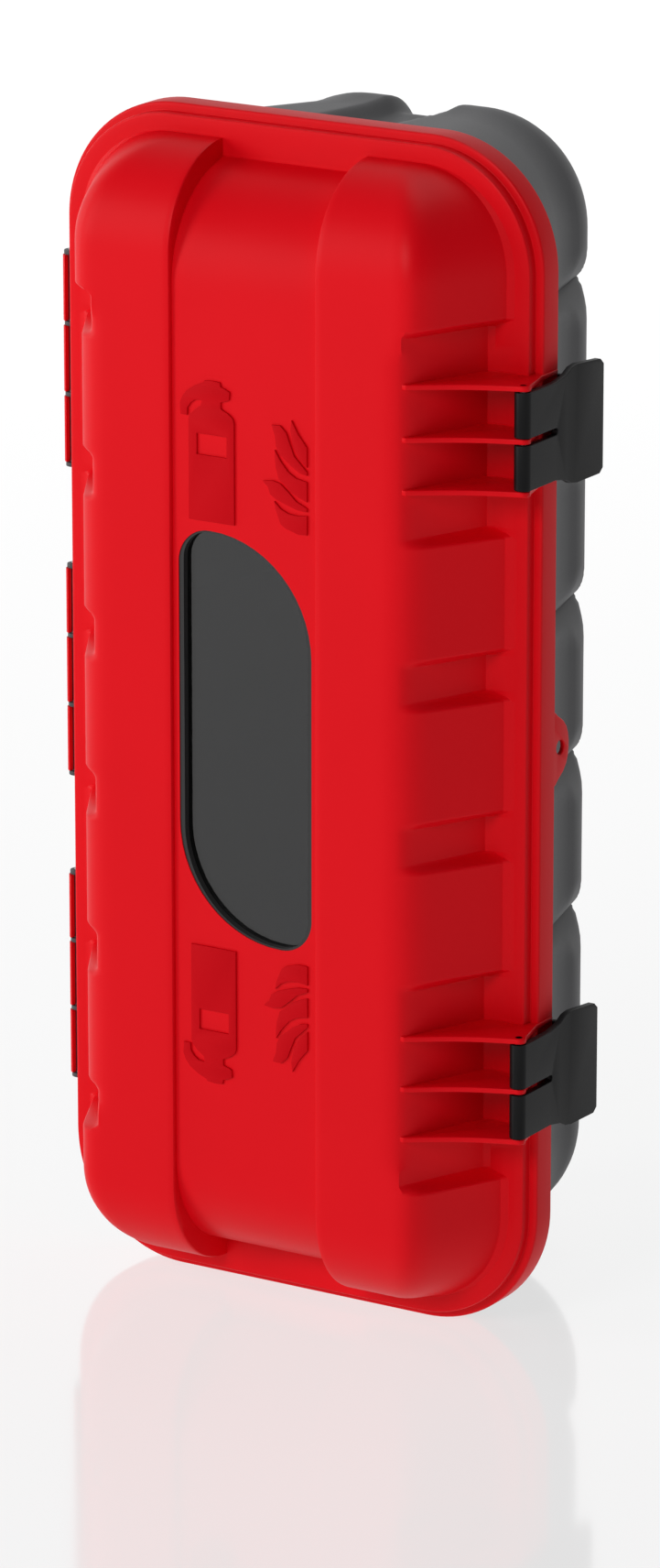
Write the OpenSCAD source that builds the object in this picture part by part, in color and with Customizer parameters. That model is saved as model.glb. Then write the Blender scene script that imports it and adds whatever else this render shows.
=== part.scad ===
// Fire extinguisher cabinet for a wall: a moulded housing, and a hinged lid with a window and two latches.
// The origin is the centre of the back face. +X is to the right, +Y into the wall, and +Z up.

/* [Lid] */
// Width of the lid, rim edge to rim edge
lid_w = 310; // [290:1:340]
// Height of the lid
lid_h = 685; // [650:1:760]
// Corner radius of the rim, seen from the front
rim_r = 72; // [64:1:84]
// Depth of the skirt behind the rim's front face
skirt_d = 16; // [13:0.5:22]
// Wall thickness of both mouldings
wall = 3; // [2.5:0.1:4]
// Width of the flat face round the rim
rim_face = 4; // [3:0.5:8]
// Height of the land above the rim's face
land_t = 7; // [5:0.5:9]
// Rounding of the rim's and the land's front edges
edge_r = 1.5; // [0.5:0.1:2.2]

/* [Lid pillars] */
// Height of the pillars' crown above the land
pillar_t = 56; // [46:1:64]
// Strip of land left beside a pillar's foot
foot_gap = 14; // [12:0.5:20]
// Strip of land left above and below a pillar's foot
end_gap = 11; // [8:0.5:20]
// Slope of the pillars' side walls
side_draft = 27; // [20:1:30]
// Width of the round shoulder beside the crown
shoulder_x = 16; // [10:1:20]
// Depth of that round shoulder
shoulder_z = 46; // [30:1:50]
// Rounding of the pillars' tops and bottoms
end_r = 68; // [64:1:80]
// Width of the panel between the pillars
panel_w = 94; // [80:1:110]
// How far the panel lies behind the crowns
panel_step = 3; // [2:0.5:8]
// How much shorter than the pillars the panel is, at each end
panel_end = 11; // [6:1:20]
// Rounding of the panel's top and bottom
panel_r = 62; // [58:1:70]

/* [Side notches] */
// Number of notches down each side
notch_n = 6; // [4:1:6]
// Distance from notch to notch
notch_pitch = 93; // [80:1:100]
// Height of a notch at its floor
notch_h = 20; // [12:1:26]
// Depth of a notch in the lid's side
notch_d = 12; // [8:0.5:14]
// Depth of a notch in the housing's side
house_notch_d = 9; // [6:0.5:12]

/* [Window] */
// Width of the window's opening
window_w = 87; // [70:1:90]
// Height of the window's opening
window_h = 240; // [200:1:280]
// Large radius, at the top right and bottom left
window_big_r = 66; // [50:1:68]
// Small radius, at the top left and bottom right
window_small_r = 20; // [12:1:20]
// Thickness of the pane
pane_t = 3; // [2:0.5:4]
// Thickness of the rubber frame between panel and pane
gasket_t = 1.6; // [1:0.1:3]
// Width of the rubber frame
gasket_w = 11; // [8:0.5:14]
// How far the rubber frame shows inside the opening
gasket_lip = 3; // [1:0.5:5]

/* [Housing] */
// Depth from the wall to the rear edge of the lid's skirt
house_d = 150; // [130:1:190]
// Gap between the skirt and the housing's flange
lid_gap = 3; // [2:0.5:4]
// Thickness of the housing's flange
flange_t = 4; // [3:0.5:6]
// Thickness of the rubber seal on the flange
seal_t = 2.6; // [1:0.1:3]
// Width of the rubber seal
seal_w = 7; // [5:0.5:9]
// Half width of the mouth below the flange
mouth_x = 137; // [128:1:139]
// How far the sides lean in from the mouth to the back
side_lean = 34; // [20:1:40]
// How far the top and bottom lean in
end_lean = 5; // [2:0.5:12]
// Rounding of the edges at the back
back_r = 38; // [30:1:44]
// Corner radius at the mouth and at the back, seen from the front
house_r = 65; // [60:1:72]
// Half width of the channel in the top and bottom
channel_x = 24; // [16:1:30]
// Depth of the channel
channel_d = 9; // [5:0.5:12]
// Half height of the flat field on the back, between the two channels
field_z = 130; // [60:5:180]

/* [Wall fixings] */
// Distance between the fixing holes, across
fix_x = 90; // [70:1:100]
// Distance between the fixing holes, upright
fix_z = 420; // [300:5:480]
// Diameter of a fixing hole
fix_hole = 9; // [6:0.5:11]
// Diameter of the boss round a fixing hole
fix_boss = 22; // [18:1:26]
// Height of the boss inside the housing
fix_boss_t = 4; // [2:0.5:6]

/* [Hinges] */
// Height of each of the three hinges' centres above or below the middle
hinge_z = 183.5; // [150:0.5:220]
// Number of hooks in one hinge
hook_n = 3; // [2:1:4]
// Length of one hook along the pin
hook_l = 38; // [24:0.5:40]
// Space between two hooks, which holds an ear
ear_space = 3.2; // [2.6:0.1:5]
// Distance of the pin outside the rim's edge
pin_out = 8; // [7.5:0.5:11]
// Diameter of the hinge pin
pin_d = 5; // [4:0.5:6]
// Wall of a hook round its pin
hook_wall = 2.8; // [2:0.1:3]
// Wall of an ear round the pin
ear_wall = 2.2; // [1.6:0.1:3]
// Radial play between a pin and what turns on it
pin_play = 0.1; // [0.05:0.01:0.1]
// Play beside each ear
ear_play = 0.4; // [0.3:0.05:0.6]

/* [Latches] */
// Height of each latch's centre above or below the middle
latch_z = 186; // [160:1:200]
// Height of a latch between its two outer ribs
latch_h = 55; // [40:1:60]
// Height of the latch's shoulders behind the ribs
grip_h = 67; // [60:1:80]
// Length of the lever behind its pin
latch_l = 74; // [60:1:84]
// Thickness of the lever
lever_t = 4; // [3:0.5:6]
// How far the grip leans outwards at its end
grip_lean = 3; // [0:0.5:8]
// Distance of the latch pin outside the rim's edge
latch_out = 3.5; // [2.5:0.5:6]
// Distance of the latch pin in front of the rim's face
latch_front = 27; // [22:0.5:32]
// Diameter of the latch pin
latch_pin_d = 4; // [3:0.5:5]
// Radius of the lever's round front
barrel_r = 5; // [4:0.5:6]
// Thickness of a rib
rib_t = 3; // [2.5:0.5:4]
// Gap between a latch and each rib
rib_gap = 0.5; // [0.4:0.1:1.5]
// Gap between the lip and the rear edge of the skirt
lip_gap = 1; // [0.6:0.1:2]
// Thickness of the lip
lip_t = 3; // [2:0.5:4]

/* [Seal ear] */
// How far the ear reaches behind the skirt
ear_d = 16; // [12:1:20]
// Height of the ear where it leaves the skirt
ear_h = 41; // [30:1:50]
// Diameter of the hole for a wire seal
ear_hole = 8.5; // [5:0.5:10]
// Distance of the hole's centre behind the skirt
ear_hole_d = 6.5; // [5.5:0.5:8]

/* [Hidden] */
$fn = 64;
// Distance from the back face to the rim's front face
rim_y = house_d + skirt_d;
// Half sizes of the lid's steps
land_w = lid_w - 2 * rim_face - 2;
land_h = lid_h - 2 * rim_face - 2;
land_r = rim_r - rim_face - 1;
foot_w = land_w - 2 * foot_gap + 4;
foot_h = land_h - 2 * end_gap + 2;
foot_r = land_r - end_gap + 3;
crown = land_t + pillar_t;
panel = crown - panel_step;
// Housing flange inside the skirt
flange_w = lid_w - 2 * (wall + lid_gap);
flange_h = lid_h - 2 * (wall + lid_gap);
flange_r = rim_r - wall - lid_gap;
seal_z = -wall - 0.4;
flange_z = seal_z - seal_t;
mouth_h = flange_h / 2 - 1.5;
// Hinge
hook_r = pin_d / 2 + pin_play + hook_wall;
hinge_x = -lid_w / 2 - pin_out;
hinge_d = -skirt_d;
hinge_l = hook_n * hook_l + (hook_n + 1) * ear_space;
hinge_places = [hinge_z, 0, -hinge_z];
hinge_turn = 175;
// Latch
latch_x = lid_w / 2 + latch_out;
slit_h = rib_t + 2 * rib_gap;
rib_places = [-(latch_h + rib_t) / 2 - rib_gap, 0, (latch_h + rib_t) / 2 + rib_gap];
latch_turn = 110;

function notch_places() = [for (i = [0 : notch_n - 1]) (i - (notch_n - 1) / 2) * notch_pitch];

// Local axes of the front: x to the right, y up, z forward from the rim's front face
module front() {
    translate([0, -rim_y, 0]) rotate([90, 0, 0]) children();
}

// Rectangle with round corners
module rounded(w, h, r) {
    square([w, h - 2 * r], center = true);
    square([w - 2 * r, h], center = true);
    for (x = [-1, 1], y = [-1, 1]) {
        translate([x * (w / 2 - r), y * (h / 2 - r)]) circle(r);
    }
}

// Half section of a raised form: x from the middle of its corner to its foot, with a leaning side
module shoulder(r, t, e, lean) {
    cx = r - (e + (t - e) * sin(lean)) / cos(lean);
    intersection() {
        union() {
            polygon([[0, 0], [r, 0], [cx + e * cos(lean), t - e + e * sin(lean)], [cx, t], [0, t]]);
            translate([cx, t - e]) circle(e);
        }
        square([r, t]);
    }
}

// Whole section of that form, w wide
module section(w, r, t, e, lean) {
    for (s = [0, 1]) mirror([s, 0]) translate([w / 2 - r, 0]) shoulder(r, t, e, lean);
    translate([-w / 2 + r, 0]) square([w - 2 * r, t]);
}

// Raised form with round corners: the section runs round a rectangle
module tray(w, h, r, t, e, lean = 0) {
    rotate([90, 0, 0]) linear_extrude(h - 2 * r, center = true) section(w, r, t, e, lean);
    rotate([90, 0, 90]) linear_extrude(w - 2 * r, center = true) section(h, r, t, e, lean);
    for (a = [0, 1, 2, 3]) {
        x = (a == 0 || a == 3) ? 1 : -1;
        y = (a < 2) ? 1 : -1;
        translate([x * (w / 2 - r), y * (h / 2 - r), 0]) rotate([0, 0, 90 * a]) {
            rotate_extrude(angle = 90) shoulder(r, t, e, lean);
        }
    }
}

// Everything in front of the panel between the pillars, drawn from the side and w wide
module panel_space(w, half_h, z0, z1, r) {
    y0 = half_h - sqrt(r * r - pow(z0 - z1 + r, 2));
    rotate([90, 0, 90]) linear_extrude(w, center = true) difference() {
        translate([-half_h - 30, z0 - 2]) square([2 * half_h + 60, 2 * pillar_t]);
        translate([-y0, z0 - 3]) square([2 * y0, z1 - z0 + 3]);
        for (s = [-1, 1]) intersection() {
            translate([s * y0, z1 - r]) circle(r);
            translate([-half_h - 5, z0 - 3]) square([2 * half_h + 10, z1 - z0 + 4]);
        }
    }
}

// The two pillars and the panel between them, made smaller by inset for the inside
module pillars(inset) {
    z0 = land_t - inset;
    side_x = foot_w / 2 - pillar_t * tan(side_draft) - shoulder_x * 0.4;
    end_y = foot_h / 2 - end_r;
    difference() {
        hull() {
            translate([0, 0, z0 - 0.5]) linear_extrude(0.5) {
                rounded(foot_w - 2 * inset, foot_h - 2 * inset, foot_r - inset, $fn = 40);
            }
            for (x = [-1, 1], y = [-1, 1]) translate([x * (side_x - shoulder_x * 0.6), y * end_y, crown - shoulder_z]) {
                scale([shoulder_x - inset, end_r - 5 - inset, shoulder_z - inset]) sphere(1, $fn = 40);
            }
        }
        panel_space(panel_w + 2 * inset, foot_h / 2 - panel_end - inset, z0, panel - inset, panel_r - inset);
        translate([-lid_w, -lid_h, z0 - 0.5 - lid_w]) cube([2 * lid_w, 2 * lid_h, lid_w]);
    }
}

// One notch in a pillar's side, h high at its floor; grow widens it by the wall for the inside
module notch(h, grow) {
    floor_x = foot_w / 2 - notch_d - grow;
    rise = notch_d + grow;
    lean = (crown - land_t) * tan(side_draft);
    g = grow * 0.8;
    translate([0, 0, land_t - grow]) rotate([90, 0, 0]) translate([0, 0, -h / 2 - rise - g]) {
        intersection() {
            linear_extrude(h + 2 * rise + 2 * g) {
                polygon([[floor_x, 0], [floor_x - lean * 0.82, pillar_t + grow + 1], [foot_w / 2 + 2, pillar_t + grow + 1],
                         [foot_w / 2 + 2, 0]]);
            }
            translate([0, pillar_t + wall + 4, h / 2 + rise + g]) rotate([90, 0, 0]) {
                linear_extrude(pillar_t + 2 * wall + 8) {
                    polygon([[floor_x - lean, -h / 2 - g], [floor_x, -h / 2 - g], [floor_x + rise + 2, -h / 2 - g - rise - 2],
                             [floor_x + rise + 2, h / 2 + g + rise + 2], [floor_x, h / 2 + g], [floor_x - lean, h / 2 + g]]);
                }
            }
        }
    }
}

// All notches of the lid; the latches stand in two tall ones on the right
module lid_notches(grow) {
    tall = notch_pitch + notch_h;
    for (y = notch_places()) {
        translate([0, y, 0]) mirror([1, 0, 0]) notch(notch_h, grow);
        if (abs(y) < latch_z - notch_pitch / 2 - 1) translate([0, y, 0]) notch(notch_h, grow);
    }
    for (s = [-1, 1]) translate([0, s * latch_z, 0]) notch(tall, grow);
}

// One rib that carries a latch pin, in plan
module rib() {
    edge = lid_w / 2;
    linear_extrude(rib_t, center = true) {
        polygon([[foot_w / 2 - 44, land_t], [foot_w / 2 - 34, crown - 2], [foot_w / 2 - 29, crown - 4],
                 [latch_x - 1, latch_front + 5], [latch_x + 3, latch_front + 3], [latch_x + 4, latch_front - 1],
                 [edge + 0.5, -skirt_d], [edge - wall, -skirt_d]]);
    }
}

module latch_ribs() {
    for (s = [-1, 1], y = rib_places) {
        translate([0, s * latch_z + y, 0]) rotate([90, 0, 0]) rib();
    }
}

// Outline of the window: a leaning form with two large and two small corners
module window_outline(grow) {
    w = window_w + 2 * grow;
    h = window_h + 2 * grow;
    rb = window_big_r + grow;
    rs = window_small_r + grow;
    difference() {
        square([w, h], center = true);
        for (s = [0, 180]) rotate(s) {
            translate([w / 2 - rb, h / 2 - rb]) difference() {
                square(rb + 1);
                circle(rb);
            }
            translate([-w / 2 + rs, h / 2 - rs]) difference() {
                translate([-rs - 1, 0]) square(rs + 1);
                circle(rs);
            }
        }
    }
}

// One hook of the lid round a hinge pin, open towards the front
module hook() {
    linear_extrude(hook_l, center = true) difference() {
        union() {
            translate([hinge_x, hinge_d]) circle(hook_r);
            translate([hinge_x, hinge_d - hook_r]) square([pin_out + wall - 0.5, 5]);
            translate([hinge_x + hook_r - 1.5, hinge_d - hook_r]) square([pin_out + wall - 0.5 - hook_r + 1.5, hook_r + 2]);
        }
        translate([hinge_x, hinge_d]) circle(pin_d / 2 + pin_play);
        translate([hinge_x, hinge_d]) polygon([[0, 0], [-pin_d / 2, 2 * hook_r], [pin_d / 2 + pin_play, 2 * hook_r],
                                               [pin_d / 2 + pin_play, 0]]);
    }
}

module hooks() {
    for (y = hinge_places, i = [0 : hook_n - 1]) {
        translate([0, y + (i - (hook_n - 1) / 2) * (hook_l + ear_space), 0]) rotate([90, 0, 0]) hook();
    }
}

// Ear of the housing that holds a hinge pin, in plan
module hinge_ear() {
    r = pin_d / 2 + ear_wall;
    linear_extrude(ear_space - 2 * ear_play, center = true) difference() {
        union() {
            translate([hinge_x, hinge_d]) circle(r);
            polygon([[hinge_x - r, hinge_d], [hinge_x, hinge_d - r - 1], [-mouth_x + 14, hinge_d - 30],
                     [-mouth_x + 14, hinge_d - 2], [hinge_x + r, hinge_d - 2], [hinge_x, hinge_d]]);
        }
        translate([hinge_x, hinge_d]) circle(pin_d / 2 + pin_play);
    }
}

module hinge_ears() {
    for (y = hinge_places, i = [0 : hook_n]) {
        translate([0, y + (i - hook_n / 2) * (hook_l + ear_space), 0]) rotate([90, 0, 0]) hinge_ear();
    }
}

// Tab on the skirt for a wire seal
module seal_ear() {
    x = lid_w / 2 - wall;
    waist = ear_h * 0.22;
    translate([x, 0, -skirt_d]) rotate([0, 90, 0]) linear_extrude(wall) difference() {
        union() {
            translate([ear_d - waist, 0]) circle(waist);
            polygon([[-4, -ear_h / 2], [1, -ear_h / 2], [6, -waist - 4], [ear_d - waist, -waist],
                     [ear_d - waist, waist], [6, waist + 4], [1, ear_h / 2], [-4, ear_h / 2]]);
        }
        translate([ear_hole_d, 0]) circle(d = ear_hole);
    }
}

module lid_shell() {
    color([0.78, 0.03, 0.07]) front() difference() {
        union() {
            translate([0, 0, -skirt_d]) tray(lid_w, lid_h, rim_r, skirt_d, edge_r);
            translate([0, 0, -wall]) tray(land_w, land_h, land_r, land_t + wall, edge_r);
            difference() {
                pillars(0);
                lid_notches(0);
            }
            latch_ribs();
            hooks();
        }
        // Hollow behind the rim, the land and the pillars
        translate([0, 0, -skirt_d - 1]) linear_extrude(skirt_d + 1 - wall) {
            rounded(lid_w - 2 * wall, lid_h - 2 * wall, rim_r - wall);
        }
        translate([0, 0, -wall - 1]) linear_extrude(land_t + 1) {
            rounded(land_w - 2 * wall, land_h - 2 * wall, land_r - wall);
        }
        difference() {
            pillars(wall);
            lid_notches(wall);
        }
        translate([0, 0, panel - 2 * wall]) linear_extrude(4 * wall) window_outline(0);
        for (s = [-1, 1]) translate([latch_x, s * latch_z, latch_front]) rotate([90, 0, 0]) {
            cylinder(h = latch_h + 3 * rib_t, d = latch_pin_d, center = true);
        }
    }
    color([0.78, 0.03, 0.07]) front() seal_ear();
}

module window_gasket() {
    color([0.05, 0.05, 0.06]) front() difference() {
        union() {
            translate([0, 0, panel - wall - gasket_t]) linear_extrude(gasket_t) window_outline(gasket_w - gasket_lip);
            translate([0, 0, panel - wall - gasket_t]) linear_extrude(gasket_t + wall - 0.6) window_outline(-0.05);
        }
        translate([0, 0, panel - wall - gasket_t - 1]) linear_extrude(gasket_t + wall + 2) {
            window_outline(-gasket_lip);
        }
    }
}

module window_pane() {
    color([0.25, 0.26, 0.28]) front() translate([0, 0, panel - wall - gasket_t - pane_t]) {
        linear_extrude(pane_t) window_outline(gasket_w - gasket_lip - 1);
    }
}

// Housing's body from the mouth to the back, made smaller by inset for the inside
module tub(inset) {
    back_x = mouth_x - side_lean - inset;
    back_y = mouth_h - end_lean - inset;
    r = back_r - inset;
    ring = house_r - back_r;
    hull() {
        translate([0, 0, flange_z - 1]) linear_extrude(1) {
            rounded(2 * (mouth_x - inset), 2 * (mouth_h - inset), house_r - inset, $fn = 48);
        }
        for (x = [-1, 1], y = [-1, 1]) {
            translate([x * (back_x - ring - r), y * (back_y - ring - r), -rim_y + back_r]) {
                rotate_extrude($fn = 48) intersection() {
                    translate([ring, 0]) circle(r, $fn = 48);
                    translate([0, -r]) square([ring + r, 2 * r]);
                }
            }
        }
    }
}

// Channel over the top and down the back, and the same below; grow widens it by the wall for the inside
module channels(grow) {
    x = channel_x + grow * 0.9;
    d = channel_d + grow;
    slope = 7;
    for (s = [0, 1]) mirror([0, s, 0]) {
        translate([0, mouth_h - end_lean - d, -rim_y - 1]) linear_extrude(house_d - 12 + grow) {
            polygon([[-x + slope, 0], [x - slope, 0], [x + slope, 2 * d], [-x - slope, 2 * d]]);
        }
        translate([0, field_z - grow, -rim_y - 1]) rotate([-90, 0, 0]) linear_extrude(mouth_h - field_z) {
            polygon([[-x - slope, 0], [x + slope, 0], [x - slope, -d - 1], [-x + slope, -d - 1]]);
        }
    }
}

// Notches down the housing's sides
module house_notches(grow) {
    z0 = -rim_y + back_r;
    depth_z = house_d - back_r;
    lean = side_lean * 0.9;
    g = grow * 0.8;
    rise = house_notch_d;
    x = mouth_x - side_lean - house_notch_d - grow;
    h = notch_h / 2 + g;
    for (s = [0, 1], y = notch_places()) mirror([s, 0, 0]) translate([0, y, 0]) intersection() {
        translate([0, 0, -rim_y - 1]) linear_extrude(house_d) {
            polygon([[x - 40, -h], [x, -h], [x + rise + lean, -h - rise - lean], [x + rise + lean, h + rise + lean],
                     [x, h], [x - 40, h]]);
        }
        rotate([90, 0, 0]) linear_extrude(2 * (h + rise + lean) + 2, center = true) {
            polygon([[x - 10, -rim_y - 1], [x, z0], [x + lean, z0 + depth_z - 14], [x + lean + 40, z0 + depth_z - 14],
                     [x + lean + 40, -rim_y - 1]]);
        }
    }
}

module housing_shell() {
    color([0.2, 0.2, 0.21]) front() difference() {
        union() {
            difference() {
                tub(0);
                channels(0);
                house_notches(0);
            }
            translate([0, 0, flange_z - flange_t]) linear_extrude(flange_t) rounded(flange_w, flange_h, flange_r);
            hinge_ears();
        }
        difference() {
            union() {
                tub(wall);
                translate([0, 0, flange_z - 1.01]) linear_extrude(2) {
                    rounded(2 * (mouth_x - wall), 2 * (mouth_h - wall), house_r - wall);
                }
            }
            channels(wall);
            house_notches(wall);
            for (x = [-1, 1], y = [-1, 1]) translate([x * fix_x / 2, y * fix_z / 2, -rim_y]) {
                cylinder(h = wall + fix_boss_t, d = fix_boss);
            }
        }
        for (x = [-1, 1], y = [-1, 1]) translate([x * fix_x / 2, y * fix_z / 2, -rim_y - 1]) {
            cylinder(h = wall + fix_boss_t + 2, d = fix_hole);
        }
    }
}

module rim_seal() {
    color([0.06, 0.06, 0.07]) front() translate([0, 0, flange_z]) linear_extrude(seal_t) difference() {
        rounded(flange_w - 2, flange_h - 2, flange_r - 1);
        rounded(flange_w - 2 - 2 * seal_w, flange_h - 2 - 2 * seal_w, flange_r - 1 - seal_w);
    }
}

module hinge_pin(y) {
    color([0.35, 0.35, 0.36]) front() translate([hinge_x, y, hinge_d]) rotate([90, 0, 0]) {
        cylinder(h = hinge_l, d = pin_d, center = true);
    }
}

module hinge_pin_upper() { hinge_pin(hinge_z); }
module hinge_pin_middle() { hinge_pin(0); }
module hinge_pin_lower() { hinge_pin(-hinge_z); }

module latch_pin(y) {
    color([0.5, 0.5, 0.52]) front() translate([latch_x, y, latch_front]) rotate([90, 0, 0]) {
        cylinder(h = latch_h + 2 * rib_t + 2 * rib_gap, d = latch_pin_d - 0.02, center = true);
    }
}

module latch_pin_upper() { latch_pin(latch_z); }
module latch_pin_lower() { latch_pin(-latch_z); }

// Lever of a latch: a round front on its pin, a straight plate and a wider grip, with a lip behind the skirt
module latch(y) {
    outer = latch_x + barrel_r;
    inner = outer - lever_t;
    crease = latch_front - latch_l + 27;
    tail = latch_front - latch_l;
    lip_z = -skirt_d - lip_gap - lip_t;
    color([0.1, 0.1, 0.11]) front() translate([0, y, 0]) difference() {
        intersection() {
            union() {
                rotate([90, 0, 0]) linear_extrude(grip_h, center = true) {
                    translate([latch_x, latch_front]) circle(barrel_r);
                    polygon([[inner, crease], [inner, latch_front], [outer, latch_front], [outer, crease],
                             [outer + grip_lean, tail], [outer + grip_lean - lever_t, tail]]);
                }
                rotate([90, 0, 0]) linear_extrude(latch_h, center = true) {
                    polygon([[lid_w / 2 - wall + 0.5, lip_z], [inner + 1, lip_z - 3], [inner + 1, lip_z + lip_t],
                             [lid_w / 2 - wall + 0.5, lip_z + lip_t]]);
                }
            }
            // Side outline, drawn as x back from the front and y up
            translate([latch_x - 20, 0, 0]) rotate([0, 90, 0]) linear_extrude(60) {
                polygon([[-latch_front - 20, -latch_h / 2], [-crease - 20, -latch_h / 2], [-crease - 9, -latch_h / 2 - 2],
                         [-crease - 3, -grip_h / 2 + 1], [-crease + 3, -grip_h / 2], [-tail - 3, -grip_h / 2 + 1],
                         [-tail, -grip_h / 2 + 4], [-tail, grip_h / 2 - 4], [-tail - 3, grip_h / 2 - 1],
                         [-crease + 3, grip_h / 2], [-crease - 3, grip_h / 2 - 1], [-crease - 9, latch_h / 2 + 2],
                         [-crease - 20, latch_h / 2], [-latch_front - 20, latch_h / 2]]);
            }
        }
        translate([latch_x, 0, latch_front]) rotate([90, 0, 0]) {
            cylinder(h = grip_h + 2, d = latch_pin_d + 2 * pin_play, center = true);
        }
        // Slit that the middle rib passes through
        translate([latch_x - 2 * barrel_r, 0, 0]) rotate([0, 90, 0]) linear_extrude(4 * barrel_r) {
            translate([-latch_front - 2 * barrel_r, -slit_h / 2]) square([2 * barrel_r + 27, slit_h]);
            translate([-latch_front + 27, 0]) circle(d = slit_h);
        }
    }
}

module latch_upper() { latch(latch_z); }
module latch_lower() { latch(-latch_z); }

housing_shell();
rim_seal();
hinge_pin_upper();
hinge_pin_middle();
hinge_pin_lower();
lid_shell();
window_gasket();
window_pane();
latch_pin_upper();
latch_pin_lower();
latch_upper();
latch_lower();
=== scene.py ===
"""Looks of a wall cabinet for a fire extinguisher: red moulded lid, grey moulded housing, lever latches.

Sizes are in millimetres, in the axes of the lid's front: x to the right, z up, and d forward from the
face of the lid's rim. The function front turns them into the frame's metres.
"""

from __future__ import annotations

import logging
import math
from dataclasses import dataclass, field
from enum import Enum
from typing import Callable

import bmesh
import bpy
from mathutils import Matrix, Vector


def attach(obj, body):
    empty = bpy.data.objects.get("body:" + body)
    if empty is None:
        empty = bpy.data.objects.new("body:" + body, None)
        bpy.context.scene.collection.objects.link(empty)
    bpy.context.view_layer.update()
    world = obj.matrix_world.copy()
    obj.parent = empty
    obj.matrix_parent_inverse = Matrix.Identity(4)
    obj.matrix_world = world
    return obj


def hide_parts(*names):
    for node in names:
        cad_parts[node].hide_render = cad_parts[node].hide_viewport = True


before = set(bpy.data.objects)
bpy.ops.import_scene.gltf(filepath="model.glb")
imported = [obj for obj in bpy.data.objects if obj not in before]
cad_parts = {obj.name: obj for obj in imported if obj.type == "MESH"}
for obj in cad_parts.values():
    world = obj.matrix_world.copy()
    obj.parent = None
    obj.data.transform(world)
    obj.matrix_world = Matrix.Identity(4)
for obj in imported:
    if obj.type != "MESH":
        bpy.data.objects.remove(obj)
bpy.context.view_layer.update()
LOG = logging.getLogger("cabinet")

MM = 0.001
RIM_Y = 166.0
WALL = 3.0

Point = tuple[float, float, float]


def front(x: float, z: float, d: float) -> Vector:
    """Turns the front's millimetres into the frame's metres.

    Args:
        x: distance to the right of the middle.
        z: height above the middle.
        d: distance in front of the rim's face.

    Returns:
        The point in the frame.
    """
    return Vector((x * MM, -(RIM_Y + d) * MM, z * MM))


def clamp(value: float, low: float = 0.0, high: float = 1.0) -> float:
    """Keeps a value between two limits."""
    return max(low, min(high, value))


def ramp(value: float, start: float, end: float) -> float:
    """Rises softly from 0 at start to 1 at end.

    Args:
        value: where to read the ramp.
        start: the value that gives 0.
        end: the value that gives 1.

    Returns:
        A number from 0 to 1, half straight and half eased.
    """
    t = clamp((value - start) / (end - start))
    return 0.5 * t + 0.5 * t * t * (3 - 2 * t)


def mix(a: float, b: float, t: float) -> float:
    """Goes from a to b as t goes from 0 to 1."""
    return a + (b - a) * t


def soft_min(a: float, b: float, width: float) -> float:
    """Gives the smaller of two values, rounded off where they are nearly equal.

    Args:
        a: one value.
        b: the other value.
        width: difference below which the result is rounded off.

    Returns:
        A value no larger than either.
    """
    near = max(width - abs(a - b), 0.0) / width
    return min(a, b) - near * near * width / 4


def resample(line: list[tuple[float, float]], count: int) -> list[tuple[float, float]]:
    """Spreads points evenly along a line of short straight steps.

    Args:
        line: the points of the line.
        count: number of points wanted.

    Returns:
        That many points, ends included.
    """
    lengths = [0.0]
    for a, b in zip(line, line[1:]):
        lengths.append(lengths[-1] + math.dist(a, b))
    result = []
    k = 0
    for i in range(count):
        want = lengths[-1] * i / (count - 1)
        while k < len(line) - 2 and lengths[k + 1] < want:
            k += 1
        t = (want - lengths[k]) / max(lengths[k + 1] - lengths[k], 1e-9)
        result.append((mix(line[k][0], line[k + 1][0], t), mix(line[k][1], line[k + 1][1], t)))
    return result


# Finishes


def linear(hex_colour: str) -> tuple[float, float, float, float]:
    """Turns an sRGB hex colour into linear RGBA.

    Args:
        hex_colour: six hex digits after a number sign.

    Returns:
        The linear colour with full opacity.
    """
    channels = [int(hex_colour[i : i + 2], 16) / 255 for i in (1, 3, 5)]
    curve = [c / 12.92 if c <= 0.04045 else ((c + 0.055) / 1.055) ** 2.4 for c in channels]
    return (curve[0], curve[1], curve[2], 1.0)


def add_node(
    material: bpy.types.Material | bpy.types.World, kind: str, settings: dict | None = None, **links: object
) -> bpy.types.Node:
    """Adds a node with its settings, values and links.

    Args:
        material: what the node tree belongs to.
        kind: the node's type name.
        settings: the node's own properties.
        links: socket name, with underscores for spaces, to a value or an output socket.

    Returns:
        The new node.
    """
    tree = material.node_tree
    node = tree.nodes.new(kind)
    for name, value in (settings or {}).items():
        setattr(node, name, value)
    for name, value in links.items():
        key = int(name[1:]) if name[0] == "i" and name[1:].isdigit() else name.replace("_", " ")
        socket = node.inputs[key]
        if isinstance(value, bpy.types.NodeSocket):
            tree.links.new(value, socket)
        else:
            socket.default_value = value
    return node


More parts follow.
